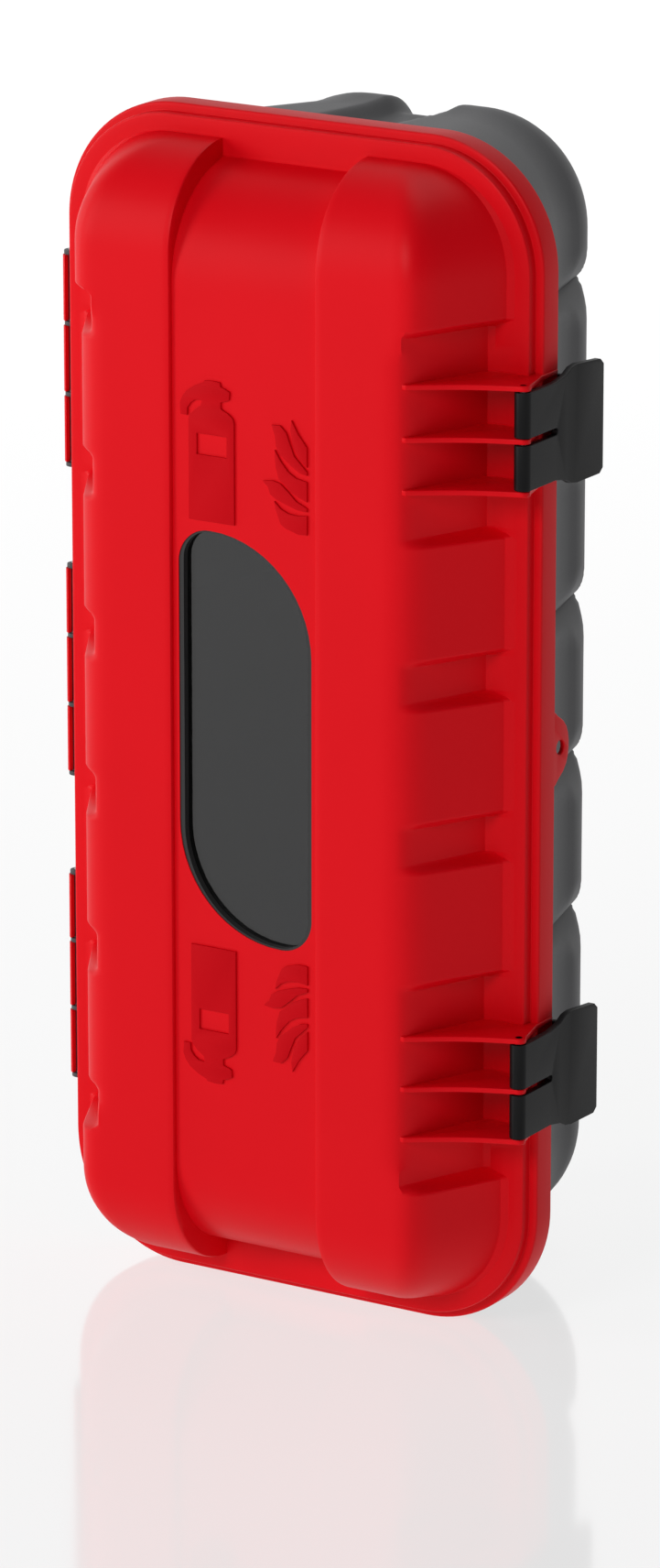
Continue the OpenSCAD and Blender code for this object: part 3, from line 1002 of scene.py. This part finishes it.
@dataclass
class LidFittings:
    """What is moulded on the lid: latch ribs, hinge hooks and the ear for a wire seal."""

    rows: RowTree
    rib_t: float = 3.0
    rib_pitch: float = 29.5
    latch_z: float = 186.0
    latch_x: float = 158.5
    latch_d: float = 27.0
    hinge_x: float = -163.0
    hinge_d: float = -16.0
    hinge_pitch: float = 183.5
    hook_l: float = 38.0
    hook_pitch: float = 41.2
    hook_r: float = 5.4
    pin_r: float = 2.6
    ear_x: float = 152.0
    ear_d: float = 16.0
    ear_h: float = 43.0
    ear_hole_r: float = 4.25
    ear_hole_d: float = 6.5

    def ribs(self) -> bpy.types.Object:
        """Makes the six ribs that carry the latch pins."""
        outline = [(123.8, 8.0), (103.0, 57.0), (100.8, 60.2), (104.0, 60.6)]
        # The rib's upper edge runs to the pin in a slight hollow curve
        for k in range(1, 9):
            t = k / 9
            sag = 3.0 * math.sin(math.pi * t)
            outline.append((mix(104.0, self.latch_x - 2.0, t), mix(60.6, self.latch_d + 4.6, t) - sag))
        for k in range(7):
            a = math.radians(100 - 25 * k)
            outline.append((self.latch_x + 4.2 * math.cos(a), self.latch_d + 4.2 * math.sin(a)))
        outline += [(155.6, 2.0), (155.4, -15.8), (152.6, -15.8), (152.6, 0.0), (130.0, 5.0)]
        rib = extrude("latch_ribs", list(reversed(outline)), Axis.UP, -self.rib_t / 2, self.rib_t / 2)
        bevel(rib, 0.55, 3)
        low = -self.latch_z - self.rib_pitch
        return self.rows.repeat(rib, RED, (2, 2 * self.latch_z, low), (3, self.rib_pitch))

    def hooks(self) -> bpy.types.Object:
        """Makes the nine hooks round the hinge pins, open towards the front."""
        outline = []
        for k in range(17):
            a = math.radians(110 + 235 * k / 16)
            outline.append((self.hinge_x + self.hook_r * math.cos(a), self.hinge_d + self.hook_r * math.sin(a)))
        bridge = self.hinge_x + 10.4
        outline += [(self.hinge_x + 4.6, -21.4), (bridge, -21.4), (bridge, -14.4), (self.hinge_x + 4.2, -14.4)]
        outline.append((self.hinge_x + 3.4, -15.0))
        for k in range(13):
            a = math.radians(-6 - 235 * k / 12)
            outline.append((self.hinge_x + self.pin_r * math.cos(a), self.hinge_d + self.pin_r * math.sin(a)))
        hook = extrude("hinge_hooks", outline, Axis.UP, -self.hook_l / 2, self.hook_l / 2)
        bevel(hook, 0.4, 2)
        low = -self.hinge_pitch - self.hook_pitch
        return self.rows.repeat(hook, RED, (3, self.hinge_pitch, low), (3, self.hook_pitch))

    def seal_ear(self) -> bpy.types.Object:
        """Makes the ear behind the skirt, with its hole for a wire seal."""
        half = self.ear_h / 2
        back = self.skirt_back()
        # Share of the ear's reach behind the skirt, and of its half height
        shape = ((-0.5, 1.0), (0.0, 1.0), (0.1, 0.97), (0.25, 0.87), (0.44, 0.78), (0.65, 0.67), (0.84, 0.5))
        edge = [(back - t * self.ear_d, h * half) for t, h in shape + ((0.95, 0.31), (1.0, 0.1))]
        outline = edge + [(d, -z) for d, z in reversed(edge)]
        ear = extrude("seal_ear", outline, Axis.ACROSS, self.ear_x + 0.2, self.ear_x + WALL - 0.1)
        middle = back - self.ear_hole_d
        hole = [
            (middle + self.ear_hole_r * math.cos(math.tau * k / 40), self.ear_hole_r * math.sin(math.tau * k / 40))
            for k in range(40)
        ]
        cut(ear, extrude("ear_tool", hole, Axis.ACROSS, self.ear_x - WALL, self.ear_x + 3 * WALL))
        bevel(ear, 0.5, 3)
        return ear

    def skirt_back(self) -> float:
        """Gives the depth of the skirt's rear edge."""
        return -16.0


@dataclass
class Signs:
    """Raised signs on the panel: a plain extinguisher and flames, above and below the window."""

    base_d: float = 59.6
    top_d: float = 61.0
    left_x: float = -41.1
    bottle_w: float = 34.8
    low_z: float = 123.8
    bottle_h: float = 79.7
    flame_x: float = 12.8
    flame_w: float = 28.2
    flame_z: float = 124.4
    flame_h: float = 63.7

    def bottle(self) -> list[list[tuple[float, float]]]:
        """Draws the extinguisher, in shares of its width and height.

        Returns:
            The outline, then the label's opening.
        """
        body = [(0.158, 0.0), (1.0, 0.0), (1.0, 0.723), (0.977, 0.753), (0.887, 0.784), (0.775, 0.805)]
        knob = [(0.752, 0.815), (0.752, 0.861), (0.874, 0.877), (0.91, 0.886), (0.919, 0.937), (0.82, 0.957)]
        valve = [(0.752, 0.965), (0.739, 0.996), (0.595, 1.0), (0.459, 0.995), (0.437, 0.982)]
        hose = [(0.279, 0.953), (0.122, 0.908), (0.045, 0.866), (0.0, 0.818), (0.01, 0.74), (0.122, 0.74)]
        inner = [(0.126, 0.79), (0.19, 0.83), (0.279, 0.856), (0.392, 0.863), (0.414, 0.849), (0.392, 0.817)]
        shoulder = [(0.279, 0.782), (0.18, 0.739), (0.158, 0.707)]
        outline = body + knob + valve + hose + inner + shoulder
        label = [(0.3, 0.465), (0.874, 0.465), (0.874, 0.622), (0.3, 0.622)]
        return [outline, label]

    def flames(self) -> list[list[tuple[float, float]]]:
        """Draws the flames: tongues that lean left from one upright edge.

        Returns:
            One outline for each tongue, in shares of the width and height.
        """
        top = [(0.66, 0.986), (0.8, 0.881), (1.0, 0.774), (1.0, 0.61), (0.842, 0.669), (0.707, 0.77), (0.64, 0.91)]
        second = [(0.21, 0.931), (0.39, 0.935), (0.527, 0.879), (0.595, 0.801), (0.707, 0.682), (1.0, 0.56)]
        second += [(1.0, 0.534), (0.842, 0.545), (0.617, 0.607), (0.392, 0.686), (0.302, 0.753), (0.28, 0.84)]
        third = [(0.28, 0.703), (0.392, 0.624), (0.572, 0.534), (0.752, 0.488), (1.0, 0.468), (1.0, 0.299)]
        third += [(0.842, 0.323), (0.662, 0.36), (0.505, 0.424), (0.37, 0.463), (0.302, 0.558), (0.28, 0.646)]
        fourth = [(0.01, 0.424), (0.21, 0.438), (0.392, 0.42), (0.572, 0.356), (0.752, 0.283), (1.0, 0.235)]
        fourth += [(1.0, 0.21), (0.797, 0.214), (0.527, 0.247), (0.302, 0.282), (0.167, 0.32), (0.12, 0.381)]
        low = [(0.27, 0.249), (0.392, 0.198), (0.572, 0.164), (0.797, 0.155), (1.0, 0.169), (1.0, 0.004)]
        low += [(0.797, 0.0), (0.527, 0.034), (0.414, 0.064), (0.347, 0.133), (0.293, 0.192)]
        return [top, second, third, fourth, low]

    def plate(self, loops: list[list[tuple[float, float]]], name: str) -> bpy.types.Object:
        """Raises outlines, the second of two being a hole.

        Args:
            loops: outlines in millimetres (x, z).
            name: the piece's name.

        Returns:
            A thin plate with softly rounded edges.
        """
        curve = bpy.data.curves.new(name, "CURVE")
        curve.dimensions = "2D"
        curve.fill_mode = "BOTH"
        curve.extrude = (self.top_d - self.base_d) / 2 * MM
        curve.bevel_depth = 0.25 * MM
        curve.bevel_resolution = 1
        for loop in loops:
            spline = curve.splines.new("POLY")
            spline.points.add(len(loop) - 1)
            for point, (x, z) in zip(spline.points, loop):
                point.co = (x * MM, z * MM, 0.0, 1.0)
            spline.use_cyclic_u = True
        flat = new_piece(name, curve)
        graph = bpy.context.evaluated_depsgraph_get()
        mesh = bpy.data.meshes.new_from_object(flat.evaluated_get(graph))
        bpy.data.objects.remove(flat)
        middle = (self.top_d + self.base_d) / 2
        for vertex in mesh.vertices:
            x, z, t = vertex.co
            vertex.co = front(x / MM, z / MM, middle + t / MM)
        work = bmesh.new()
        work.from_mesh(mesh)
        bmesh.ops.remove_doubles(work, verts=work.verts, dist=0.01 * MM)
        bmesh.ops.recalc_face_normals(work, faces=work.faces)
        work.to_mesh(mesh)
        work.free()
        return new_piece(name, mesh)

    def build(self) -> bpy.types.Object:
        """Makes the four signs as one piece; the lower ones mirror the upper ones."""
        plates = []
        for s in (1, -1):
            bottle = [
                [(self.left_x + x * self.bottle_w, s * (self.low_z + z * self.bottle_h)) for x, z in loop]
                for loop in self.bottle()
            ]
            plates.append(self.plate(bottle, "bottle_sign"))
            flames = [
                [(self.flame_x + x * self.flame_w, s * (self.flame_z + z * self.flame_h)) for x, z in loop]
                for loop in self.flames()
            ]
            plates.append(self.plate(flames, "flame_sign"))
        return join("raised_signs", plates)


@dataclass
class Housing:
    """Moulded housing: flange, leaning sides with round lobes, channels over the ends, flat back."""

    back_cx: float = 38.0
    back_cz: float = 265.0
    back_rho: float = 27.0
    back_round: float = 38.0
    mouth_x: float = 137.0
    mouth_z: float = 335.0
    mouth_r: float = 65.0
    mouth_d: float = -7.0
    back_d: float = -166.0
    flange_front: float = -6.0
    flange_t: float = 4.0
    flange_rho: float = 66.0
    groove_d: float = 12.0
    groove_h: float = 54.0
    channel_x: float = 24.5
    channel_floor_x: float = 16.0
    channel_depth: float = 9.0
    channel_end_d: float = -29.0
    field_z: float = 130.0
    fix_x: float = 45.0
    fix_z: float = 210.0
    fix_r: float = 4.5
    boss_r: float = 11.0
    boss_t: float = 4.0

    def __post_init__(self) -> None:
        """Sets the rows that both skins share."""
        half = self.groove_h / 2
        offsets = [0.0] + [0.5 + 0.4 * k * k for k in range(1, 8)] + [half - 3.5, half - 1.5, half, half + 2]
        levels = notch_levels(NOTCHES, offsets, self.back_cz, 9.0)
        self.outline = RoundRect(levels, 20, [-1 + 2 * k / 44 for k in range(45)])
        run = self.back_d + self.back_round
        self.lean_x = self.tangent(self.mouth_x, self.back_cx + self.back_rho, run)
        self.lean_z = self.tangent(self.mouth_z, self.back_cz + self.back_rho, run)

    def tangent(self, mouth: float, centre: float, centre_d: float) -> float:
        """Gives the lean, in radians, of a side from the mouth to its round back edge.

        Args:
            mouth: half size at the mouth.
            centre: place of the rounding's centre.
            centre_d: depth of that centre.

        Returns:
            The angle from the straight line backwards.
        """
        run = self.mouth_d - centre_d
        away = math.hypot(mouth - centre, run)
        return math.atan2(mouth - centre, run) - math.asin(self.back_round / away)

    def groove(self, z: float, inset: float) -> float:
        """Gives how deep a side is cut at a height."""
        half = self.groove_h / 2
        arc = (half * half + self.groove_d ** 2) / (2 * self.groove_d)
        t = min(abs(z - c) for c in NOTCHES)
        if t >= half:
            return inset
        return arc - math.sqrt((arc - inset) ** 2 - (half - t) ** 2)

    def channel(self, x: float, inset: float) -> float:
        """Gives the share of the channel's depth at a place across."""
        grow = 0.8 * inset
        return ramp(-abs(x), -self.channel_x - grow, -self.channel_floor_x - grow)

    def section(self, d: float, inset: float) -> tuple[float, float, float, float, float, float]:
        """Gives the outline at a depth: corner centre, reach across and upright, and the edge's normal.

        Args:
            d: the depth.
            inset: distance inside the outer skin.

        Returns:
            cx, cz, radius across, radius upright, and the normal's parts out and back.
        """
        r = self.back_round - inset
        centre_d = self.back_d + self.back_round
        flat_x = self.back_cx + self.back_rho
        touch = centre_d + r * math.sin(self.lean_x)
        if d <= touch:
            back = clamp((centre_d - d) / r, -1.0, 1.0)
            out = math.sqrt(max(0.0, 1 - back * back))
            return self.back_cx, self.back_cz, self.back_rho + r * out, self.back_rho + r * out, out, back
        t = (d - touch) / (self.mouth_d - touch)
        cx = mix(self.back_cx, self.mouth_x - self.mouth_r, t)
        cz = mix(self.back_cz, self.mouth_z - self.mouth_r, t)
        run = d - touch
        half_x = flat_x + r * math.cos(self.lean_x) + run * math.tan(self.lean_x)
        start_z = self.back_cz + self.back_rho + r * math.cos(self.lean_x)
        half_z = mix(start_z, self.mouth_z - inset, t)
        return cx, cz, half_x - cx, half_z - cz, 1.0, 0.0

    def ring(self, d: float, inset: float) -> list[Vector]:
        """Places one loop of the walls, with grooves and channels.

        Args:
            d: depth of the loop.
            inset: distance inside the outer skin.

        Returns:
            The loop's points.
        """
        cx, cz, rx, rz, out, back = self.section(d, inset)
        plane = self.mouth_x - (self.mouth_d - d) * math.tan(self.lean_x)
        fade = ramp(-d, -self.channel_end_d - 2, -self.channel_end_d + 3)
        result = []
        for place in self.outline.places():
            kind, _, _, sz = place
            x, z = self.outline.spot(place, cx, cz, rx)
            depth = d
            if kind == "corner":
                z = math.copysign(cz + (abs(z) - cz) * rz / rx, z)
            if kind == "side":
                limit = plane - self.groove(z, inset) / math.cos(self.lean_x)
                x = math.copysign(min(abs(x), limit), x)
            if kind == "top":
                push = self.channel_depth * self.channel(x, inset) * fade
                z = sz * (cz + rz - push * out)
                depth = d + push * back
            result.append(front(x, z, depth))
        return result

    def back_row(self, z: float, cosine: float, inset: float) -> list[Vector]:
        """Places one row of the back's grid."""
        half = self.back_cx + self.back_rho * cosine
        rise = ramp(abs(z), self.field_z - 4, self.field_z + 4)
        points = []
        for share in self.outline.across:
            x = share * half
            push = self.channel_depth * self.channel(x, inset) * rise
            points.append(front(-x, z, self.back_d + inset + push))
        return points

    def skin(self, inset: float) -> Skin:
        """Makes the outer or the inner skin, seen from behind.

        Args:
            inset: distance inside the outer skin.

        Returns:
            The skin, up to the mouth.
        """
        skin = Skin()
        rows = self.outline.rows(self.back_cz, self.back_rho)
        skin.grid([self.back_row(z, c, inset) for z, c in rows])
        r = self.back_round - inset
        centre_d = self.back_d + self.back_round
        depths = [centre_d - r * math.cos(math.radians(7.5 * k)) for k in range(1, 14)]
        walls = [-108, -96, -84, -72, -60, -48, -38, -34, -32.5, -31, -29.5, -28, -26.5, -22, -16]
        depths += [d for d in walls if d > depths[-1] + 2]
        for d in depths:
            skin.loop(self.mirrored(self.ring(d, inset)))
        return skin

    def mirrored(self, ring: list[Vector]) -> list[Vector]:
        """Mirrors a loop left to right, as it is seen from behind."""
        return [Vector((-p.x, p.y, p.z)) for p in ring]

    def flange(self, skin: Skin, line: list[Point]) -> None:
        """Adds the loops of the mouth and the flange to a skin.

        Args:
            skin: the skin.
            line: corners (rho, d, rounding) round the flange's corner centre.
        """
        places = self.outline.places()
        cx, cz = self.mouth_x - self.mouth_r, self.mouth_z - self.mouth_r
        for rho, d in fillet_line(line, 3):
            t = clamp((rho - self.mouth_r) / 1.0)
            spots = [
                self.outline.spot(p, mix(cx, 149.0 - self.flange_rho, t), mix(cz, 336.5 - self.flange_rho, t), rho)
                for p in places
            ]
            skin.loop(self.mirrored([front(x, z, d) for x, z in spots]))

    def build(self) -> bpy.types.Object:
        """Makes the housing's moulding.

        Returns:
            The closed shell with its fixing holes.
        """
        outer, inner = self.skin(0.0), self.skin(WALL)
        rear = self.flange_front - self.flange_t
        self.flange(outer, [(64.2, rear - 1.5, 0.0), (64.6, rear, 0.4), (66.0, rear, 0.6)])
        self.flange(outer, [(66.0, self.flange_front - 0.8, 0.0), (65.6, self.flange_front, 0.0)])
        self.flange(inner, [(61.9, rear, 0.0), (62.0, self.flange_front - 0.4, 0.0), (62.4, self.flange_front, 0.0)])
        shell = closed_shell(outer, inner, "housing_moulding")
        for x in (-self.fix_x, self.fix_x):
            for z in (-self.fix_z, self.fix_z):
                self.fixing(shell, x, z)
        return shell

    def circle(self, x: float, z: float, r: float, steps: int = 36) -> list[tuple[float, float]]:
        """Draws a circle as (x, z) points."""
        angles = [math.tau * k / steps for k in range(steps)]
        return [(x + r * math.cos(a), z + r * math.sin(a)) for a in angles]

    def fixing(self, shell: bpy.types.Object, x: float, z: float) -> None:
        """Cuts one fixing hole."""
        low = self.back_d - WALL
        tool = extrude("fixing_tool", self.circle(x, z, self.fix_r), Axis.FORWARD, low, low + 3 * WALL)
        cut(shell, tool)

    def bosses(self) -> bpy.types.Object:
        """Makes the raised rings round the fixing holes, inside."""
        pieces = []
        low = self.back_d + WALL - 0.5
        for x in (-self.fix_x, self.fix_x):
            for z in (-self.fix_z, self.fix_z):
                name = f"boss_{len(pieces)}"
                boss = extrude(name, self.circle(x, z, self.boss_r), Axis.FORWARD, low, low + self.boss_t + 0.5)
                tool = extrude("boss_tool", self.circle(x, z, self.fix_r), Axis.FORWARD, low - 5, low + 12)
                cut(boss, tool)
                bevel(boss, 0.6, 2)
                pieces.append(boss)
        return join("fixing_bosses", pieces)


@dataclass
class HingeEars:
    """Ears of the housing that hold the hinge pins between the lid's hooks."""

    rows: RowTree
    hinge_x: float = -163.0
    hinge_d: float = -16.0
    radius: float = 4.7
    hole_r: float = 2.6
    thick: float = 2.4
    pitch: float = 41.2
    hinge_pitch: float = 183.5
    root_x: float = -126.0

    def build(self) -> bpy.types.Object:
        """Makes the twelve ears."""
        outline = []
        for k in range(13):
            a = math.radians(60 + 170 * k / 12)
            outline.append((self.hinge_x + self.radius * math.cos(a), self.hinge_d + self.radius * math.sin(a)))
        outline += [(self.root_x, self.hinge_d - 30), (self.root_x, self.hinge_d - 2), (-155.0, self.hinge_d - 2)]
        ear = extrude("hinge_ears", outline, Axis.UP, -self.thick / 2, self.thick / 2)
        steps = 28
        hole = [
            (self.hinge_x + self.hole_r * math.cos(math.tau * k / steps),
             self.hinge_d + self.hole_r * math.sin(math.tau * k / steps))
            for k in range(steps)
        ]
        cut(ear, extrude("pin_tool", hole, Axis.UP, -self.thick, self.thick))
        bevel(ear, 0.35, 2)
        low = -self.hinge_pitch - 1.5 * self.pitch
        return self.rows.repeat(ear, GREY, (3, self.hinge_pitch, low), (4, self.pitch))


@dataclass
class Latch:
    """Lever latch: the solid's own outline with all of its edges rounded."""

    node: str
    rounding: float = 0.8

    def build(self) -> bpy.types.Object:
        """Copies the node's mesh, merges its flat faces and rounds its edges."""
        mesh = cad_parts[self.node].data.copy()
        work = bmesh.new()
        work.from_mesh(mesh)
        bmesh.ops.remove_doubles(work, verts=work.verts, dist=0.02 * MM)
        bmesh.ops.dissolve_limit(
            work, angle_limit=math.radians(1.0), verts=work.verts, edges=work.edges, delimit=set()
        )
        work.to_mesh(mesh)
        work.free()
        piece = new_piece(f"{self.node}_lever", mesh)
        bevel(piece, self.rounding, 3, 28.0)
        return piece


@dataclass
class Studio:
    """Pale floor, white surroundings, soft lamps and the camera."""

    floor_z: float = -0.3427
    azimuth: float = 31.727
    elevation: float = 16.512
    distance: float = 4.430
    target: Point = (-0.0131, -0.115, -0.0546)
    lens: float = 178.16

    def build(self) -> None:
        """Builds the set."""
        self.floor()
        self.world()
        self.lamps()
        self.camera()
        bpy.context.scene.view_settings.view_transform = "Standard"

    def floor(self) -> None:
        """Makes the floor, slightly glossy, as the photograph's is."""
        size = 30.0
        mesh = bpy.data.meshes.new("floor")
        z = self.floor_z
        corners = [(-size, -size, z), (size, -size, z), (size, size, z), (-size, size, z)]
        mesh.from_pydata(corners, [], [[0, 1, 2, 3]])
        floor = new_piece("floor", mesh)
        material = bpy.data.materials.new("pale_floor")
        material.use_nodes = True
        material.node_tree.nodes.clear()
        shader = add_node(material, "ShaderNodeBsdfPrincipled", Roughness=0.09)
        shader.inputs["Base Color"].default_value = linear("#6a6a6b")
        shader.inputs["Specular IOR Level"].default_value = 0.5
        shader.inputs["Emission Color"].default_value = (1.0, 1.0, 1.0, 1.0)
        shader.inputs["Emission Strength"].default_value = 0.69
        add_node(material, "ShaderNodeOutputMaterial", Surface=shader.outputs["BSDF"])
        mesh.materials.append(material)

    def world(self) -> None:
        """Makes the surroundings: white to the camera, dim to the object."""
        world = bpy.data.worlds.new("surroundings")
        bpy.context.scene.world = world
        world.use_nodes = True
        world.node_tree.nodes.clear()
        rays = add_node(world, "ShaderNodeLightPath")
        seen = add_node(
            world, "ShaderNodeMath", {"operation": "MAXIMUM"},
            i0=rays.outputs["Is Camera Ray"], i1=rays.outputs["Is Transmission Ray"],
        )
        bright = add_node(
            world, "ShaderNodeMath", {"operation": "MAXIMUM"},
            i0=seen.outputs["Value"], i1=rays.outputs["Is Glossy Ray"],
        )
        strength = add_node(
            world, "ShaderNodeMapRange", Value=bright.outputs["Value"], To_Min=0.05, To_Max=1.0
        )
        shader = add_node(world, "ShaderNodeBackground", Strength=strength.outputs["Result"])
        shader.inputs["Color"].default_value = (1.0, 1.0, 1.0, 1.0)
        add_node(world, "ShaderNodeOutputWorld", Surface=shader.outputs["Background"])

    def lamp(self, name: str, place: Point, size: tuple[float, float], power: float) -> None:
        """Adds one soft rectangular lamp aimed at the cabinet.

        Args:
            name: its name.
            place: where it hangs.
            size: its width and height in metres.
            power: its power in watts.
        """
        data = bpy.data.lights.new(name, "AREA")
        data.shape = "RECTANGLE"
        data.size, data.size_y = size
        data.energy = power
        lamp = bpy.data.objects.new(name, data)
        bpy.context.scene.collection.objects.link(lamp)
        lamp.location = place
        aim = Vector(self.target) - Vector(place)
        lamp.rotation_euler = aim.to_track_quat("-Z", "Y").to_euler()

    def lamps(self) -> None:
        """Hangs the lamps: one high in front, one front left, a strip at the left and one overhead."""
        self.lamp("front_soft", (0.1, -3.5, 1.8), (1.2, 1.2), 50.0)
        self.lamp("front_left", (-2.5, -2.5, 1.0), (1.0, 2.0), 46.0)
        self.lamp("left_strip", (-2.6, -0.5, 0.3), (0.7, 2.6), 18.0)
        self.lamp("overhead", (0.1, 0.8, 2.6), (1.6, 1.2), 14.0)

    def camera(self) -> None:
        """Sets the camera at the photograph's viewing angle."""
        a, e = math.radians(self.azimuth), math.radians(self.elevation)
        away = Vector((math.sin(a) * math.cos(e), -math.cos(a) * math.cos(e), math.sin(e)))
        data = bpy.data.cameras.new("camera")
        data.lens = self.lens
        data.sensor_width = 36.0
        data.sensor_height = 36.0
        data.sensor_fit = "AUTO"
        data.clip_end = 100.0
        camera = bpy.data.objects.new("camera", data)
        bpy.context.scene.collection.objects.link(camera)
        camera.location = Vector(self.target) + away * self.distance
        camera.rotation_euler = (-away).to_track_quat("-Z", "Y").to_euler()
        bpy.context.scene.camera = camera


def finish_nodes() -> None:
    """Gives the nodes that still show their own finishes."""
    finishes = {
        "rim_seal": RUBBER, "window_gasket": RUBBER, "window_pane": PANE,
        "hinge_pin_upper": STEEL, "hinge_pin_middle": STEEL, "hinge_pin_lower": STEEL,
        "latch_pin_upper": STEEL, "latch_pin_lower": STEEL,
    }
    for name, finish in finishes.items():
        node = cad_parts[name]
        for i in range(len(node.material_slots)):
            node.material_slots[i].material = material_of(finish)
        LOG.info("%s: %s", name, finish.name)


def main() -> None:
    """Builds the cabinet's looks and the set."""
    logging.basicConfig(level=logging.INFO, format="%(name)s: %(message)s")
    Studio().build()
    rows = RowTree()
    dress(Lid().build(), RED, "lid", ("lid_shell",), 28.0)
    fittings = LidFittings(rows)
    dress(fittings.ribs(), RED, "lid")
    dress(fittings.hooks(), RED, "lid")
    dress(fittings.seal_ear(), RED, "lid")
    dress(Signs().build(), SIGN_RED, "lid")
    housing = Housing()
    dress(housing.build(), GREY, "housing", ("housing_shell",), 40.0)
    dress(housing.bosses(), GREY, "housing")
    dress(HingeEars(rows).build(), GREY, "housing")
    for body in ("latch_upper", "latch_lower"):
        dress(Latch(body).build(), BLACK, body, (body,))
    finish_nodes()


if __name__ == "__main__":
    main()
